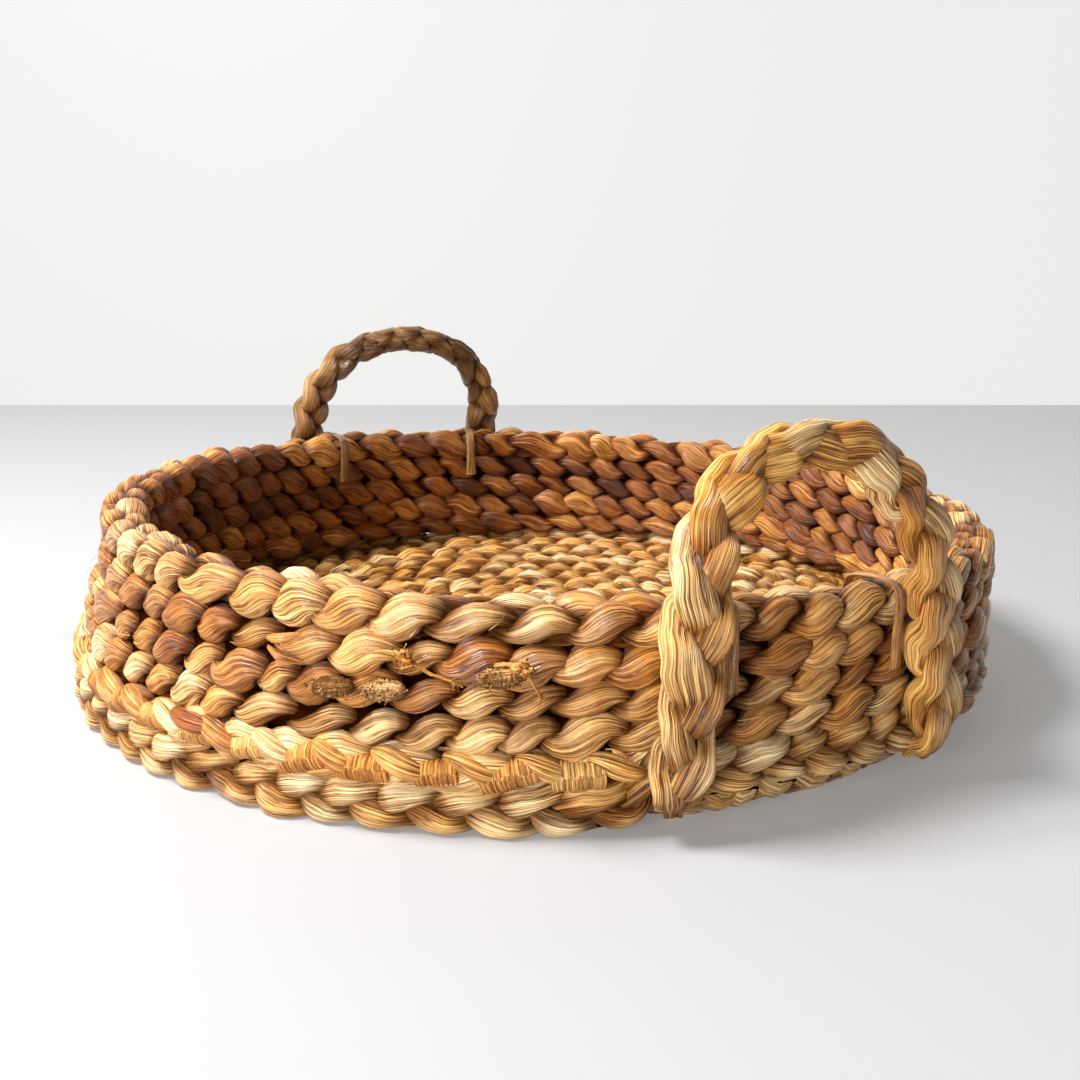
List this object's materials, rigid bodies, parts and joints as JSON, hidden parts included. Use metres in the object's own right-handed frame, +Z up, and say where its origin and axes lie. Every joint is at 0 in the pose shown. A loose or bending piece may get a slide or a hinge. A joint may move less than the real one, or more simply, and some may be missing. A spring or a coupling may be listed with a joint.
{
  "type": "woven fruit basket",
  "caption": "Shallow round basket coiled from plaited water hyacinth, with two plaited loop handles sewn to the outside of its wall.",
  "frame": {"origin": "on the table under the middle of the whole basket, handles included", "axes": "+Z up; the two handles face +X (front) and -X (back)"},
  "size_m": [0.3618, 0.352, 0.1235],
  "materials": {
    "leaf_floor": "dry leaf, satin",
    "leaf_edge": "dry leaf, satin",
    "leaf_wall": "dry leaf, satin",
    "leaf_handle": "dry leaf, satin",
    "leaf_handle_dark": "dry leaf, satin",
    "twine": "dry twisted fibre",
    "stalk": "dry cut stalk, matt"
  },
  "bodies": {
    "root": {"floor_button": "leaf_floor", "floor_coil": "leaf_floor", "base_edge_plait": "leaf_edge", "wrapped_course": "leaf_wall", "wall_plait_lower": "leaf_wall", "wall_plait_middle": "leaf_wall", "wall_plait_upper": "leaf_wall", "rim_plait": "leaf_edge", "handle_front": "leaf_handle", "handle_back": "leaf_handle_dark", "handle_front_lashing_left": "twine", "handle_front_lashing_right": "twine", "handle_back_lashing_left": "twine", "handle_back_lashing_right": "twine", "sewing_twine_tail_1": "twine", "sewing_twine_tail_2": "twine", "sewing_twine_tail_3": "twine", "stalk_stub_1": "stalk", "stalk_stub_2": "stalk", "stalk_stub_3": "stalk"}
  },
  "joints": []
}
